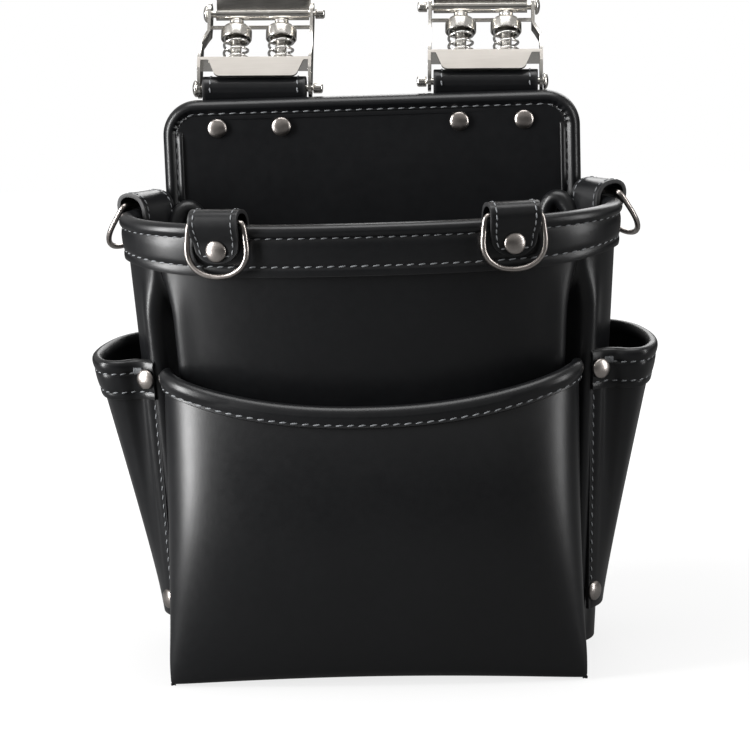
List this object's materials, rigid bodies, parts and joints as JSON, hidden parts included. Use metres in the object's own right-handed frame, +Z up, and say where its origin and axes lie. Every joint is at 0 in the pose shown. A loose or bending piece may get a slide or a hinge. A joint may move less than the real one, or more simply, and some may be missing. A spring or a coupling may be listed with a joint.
{
  "type": "tool pouch",
  "caption": "Black leather waist tool pouch with a front pocket, holster pockets at the sides, metal D-rings and sprung belt clips on the back.",
  "frame": {"origin": "middle of the flat bottom, on the surface the pouch stands on", "axes": "+X to the viewer's right when the pouch is seen from the front, +Y towards the wearer, +Z up"},
  "size_m": [0.285, 0.1639, 0.3813],
  "materials": {
    "black_leather": "smooth black cowhide with a soft semi-gloss, edges rolled and stitched in grey thread",
    "bright_nickel": "bright nickel-plated or polished stainless sheet, pins and springs",
    "dark_nickel": "antique nickel, slightly darker and warmer, on rings and rivet caps",
    "board": "plain fibre board, hidden between the leathers of the back"
  },
  "bodies": {
    "root": {"back_binding": "black_leather", "back_cover": "black_leather", "back_panel": "black_leather", "back_stiffener": "board", "bag_bottom": "black_leather", "bag_front_panel": "black_leather", "belt_strap_left": "black_leather", "belt_strap_right": "black_leather", "front_pocket": "black_leather", "front_pocket_binding": "black_leather", "gusset_left": "black_leather", "gusset_right": "black_leather", "rim_band": "black_leather", "rim_binding": "black_leather", "ring_tab_front_left": "black_leather", "ring_tab_front_right": "black_leather", "ring_tab_side_left": "black_leather", "ring_tab_side_right": "black_leather", "side_band_left": "black_leather", "side_band_right": "black_leather", "side_pocket_left": "black_leather", "side_pocket_right": "black_leather", "side_rivet_foot_left": "dark_nickel", "side_rivet_foot_right": "dark_nickel", "side_rivet_top_left": "dark_nickel", "side_rivet_top_right": "dark_nickel", "strap_rivet_left_inner": "dark_nickel", "strap_rivet_left_outer": "dark_nickel", "strap_rivet_right_inner": "dark_nickel", "strap_rivet_right_outer": "dark_nickel", "tab_rivet_front_left": "dark_nickel", "tab_rivet_front_right": "dark_nickel", "tab_rivet_side_left": "dark_nickel", "tab_rivet_side_right": "dark_nickel"},
    "clip_left": {"clip_frame_left": "bright_nickel", "strap_pin_left": "bright_nickel", "strap_pin_left_nut": "bright_nickel", "hook_pin_left": "bright_nickel", "hook_pin_left_nut": "bright_nickel", "spring_left_inner": "bright_nickel", "spring_left_outer": "bright_nickel"},
    "hook_left": {"belt_hook_left": "bright_nickel"},
    "plunger_left_inner": {"plunger_left_inner": "bright_nickel"},
    "plunger_left_outer": {"plunger_left_outer": "bright_nickel"},
    "ring_front_left": {"ring_front_left": "dark_nickel"},
    "ring_side_left": {"ring_side_left": "dark_nickel"},
    "clip_right": {"clip_frame_right": "bright_nickel", "strap_pin_right": "bright_nickel", "strap_pin_right_nut": "bright_nickel", "hook_pin_right": "bright_nickel", "hook_pin_right_nut": "bright_nickel", "spring_right_inner": "bright_nickel", "spring_right_outer": "bright_nickel"},
    "hook_right": {"belt_hook_right": "bright_nickel"},
    "plunger_right_inner": {"plunger_right_inner": "bright_nickel"},
    "plunger_right_outer": {"plunger_right_outer": "bright_nickel"},
    "ring_front_right": {"ring_front_right": "dark_nickel"},
    "ring_side_right": {"ring_side_right": "dark_nickel"}
  },
  "joints": [
    {"name": "clip_pivot_left", "type": "hinge", "parent": "root", "child": "clip_left", "pos_m": [-0.0595, 0.061, 0.285], "axis": [0.9997, 0, -0.0262], "range_deg": [-41, 66]},
    {"name": "hook_swing_left", "type": "hinge", "parent": "clip_left", "child": "hook_left", "pos_m": [-0.05851, 0.08053, 0.32275], "axis": [0.9997, 0, -0.0262], "range_deg": [-70, 46]},
    {"name": "plunger_press_left_inner", "type": "slide", "parent": "clip_left", "child": "plunger_left_inner", "axis": [-0.0235, -0.4384, -0.8985], "range_m": [0, 0.0035], "stiffness_N_per_m": 900, "springref_m": -0.002, "deforming": ["spring_left_inner"]},
    {"name": "plunger_press_left_outer", "type": "slide", "parent": "clip_left", "child": "plunger_left_outer", "axis": [-0.0235, -0.4384, -0.8985], "range_m": [0, 0.0035], "stiffness_N_per_m": 900, "springref_m": -0.002, "deforming": ["spring_left_outer"]},
    {"name": "clip_pivot_right", "type": "hinge", "parent": "root", "child": "clip_right", "pos_m": [0.0595, 0.061, 0.285], "axis": [0.9997, 0, -0.0262], "range_deg": [-41, 66]},
    {"name": "hook_swing_right", "type": "hinge", "parent": "clip_right", "child": "hook_right", "pos_m": [0.06049, 0.08053, 0.32275], "axis": [0.9997, 0, -0.0262], "range_deg": [-70, 46]},
    {"name": "plunger_press_right_inner", "type": "slide", "parent": "clip_right", "child": "plunger_right_inner", "axis": [-0.0235, -0.4384, -0.8985], "range_m": [0, 0.0035], "stiffness_N_per_m": 900, "springref_m": -0.002, "deforming": ["spring_right_inner"]},
    {"name": "plunger_press_right_outer", "type": "slide", "parent": "clip_right", "child": "plunger_right_outer", "axis": [-0.0235, -0.4384, -0.8985], "range_m": [0, 0.0035], "stiffness_N_per_m": 900, "springref_m": -0.002, "deforming": ["spring_right_outer"]},
    {"name": "ring_front_left_swing", "type": "hinge", "parent": "root", "child": "ring_front_left", "pos_m": [-0.07118, -0.03551, 0.22536], "axis": [-0.9631, 0.269, 0], "range_deg": [0, 165]},
    {"name": "ring_side_left_swing", "type": "hinge", "parent": "root", "child": "ring_side_left", "pos_m": [-0.11821, 0.03717, 0.22934], "axis": [0.4761, 0.8794, 0], "range_deg": [-32, 133]},
    {"name": "ring_front_right_swing", "type": "hinge", "parent": "root", "child": "ring_front_right", "pos_m": [0.07118, -0.03551, 0.22536], "axis": [-0.9631, -0.269, 0], "range_deg": [0, 165]},
    {"name": "ring_side_right_swing", "type": "hinge", "parent": "root", "child": "ring_side_right", "pos_m": [0.11821, 0.03717, 0.22934], "axis": [0.4761, -0.8794, 0], "range_deg": [-32, 133]}
  ]
}
